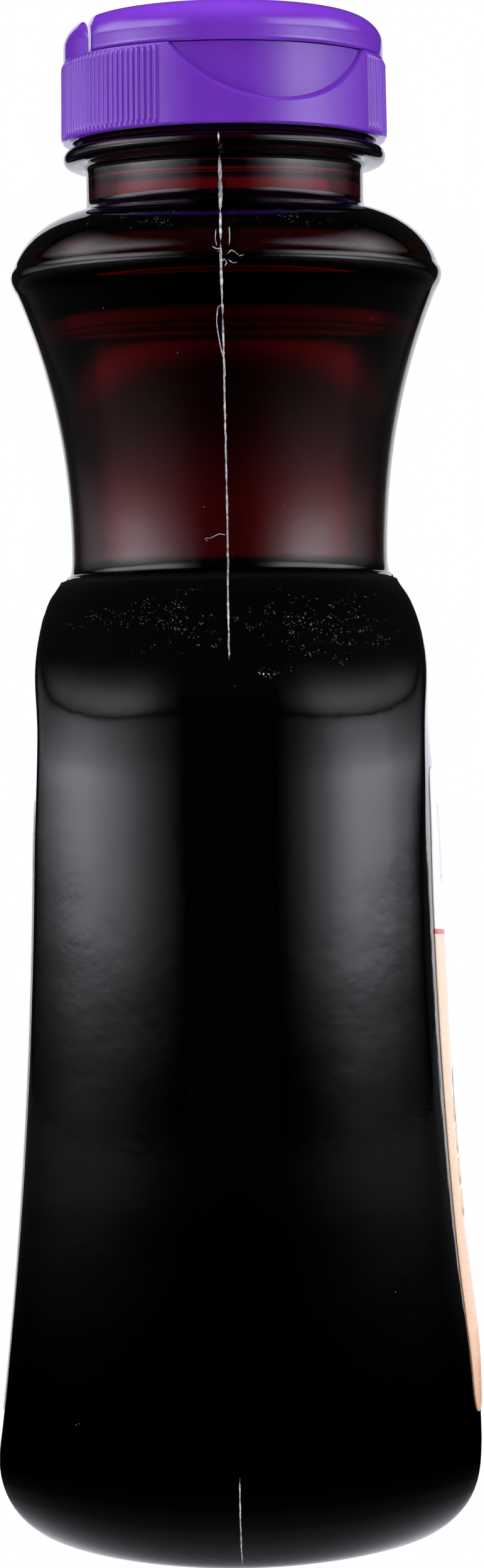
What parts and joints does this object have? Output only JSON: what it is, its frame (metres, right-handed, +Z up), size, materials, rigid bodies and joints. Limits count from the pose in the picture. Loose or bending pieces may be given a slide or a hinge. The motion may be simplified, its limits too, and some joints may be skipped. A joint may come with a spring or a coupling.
{
  "type": "syrup bottle",
  "caption": "Clear waisted bottle of dark red pancake syrup with a flared collar, flat label panels and a ribbed purple screw cap whose flip-top lid opens on a hinge.",
  "frame": {"origin": "centre of the bounding box at the surface the bottle stands on", "axes": "+Z up along the bottle's axis, +X out of the front label, -X out of the back label, mould seam on the -Y and +Y sides"},
  "size_m": [0.0602, 0.0676, 0.1895],
  "materials": {
    "clear_plastic": "clear, glossy, lightly rippled blow-moulded plastic",
    "syrup": "thick dark red syrup, nearly black where it is deep",
    "label_front": "printed film label, semi-gloss, white at the top and peach below",
    "label_back": "printed film label, semi-gloss, off-white",
    "purple_plastic": "moulded purple plastic, glossy"
  },
  "bodies": {
    "bottle": {"bottle": "clear_plastic", "syrup": "syrup", "label_front": "label_front", "label_back": "label_back", "cap_base": "purple_plastic"},
    "lid": {"cap_lid": "purple_plastic"}
  },
  "joints": [
    {"name": "lid_hinge", "type": "hinge", "parent": "bottle", "child": "lid", "pos_m": [-0.00727, 0.01895, 0.18417], "axis": [-0.9336, -0.3584, 0], "range_deg": [0, 135]}
  ]
}
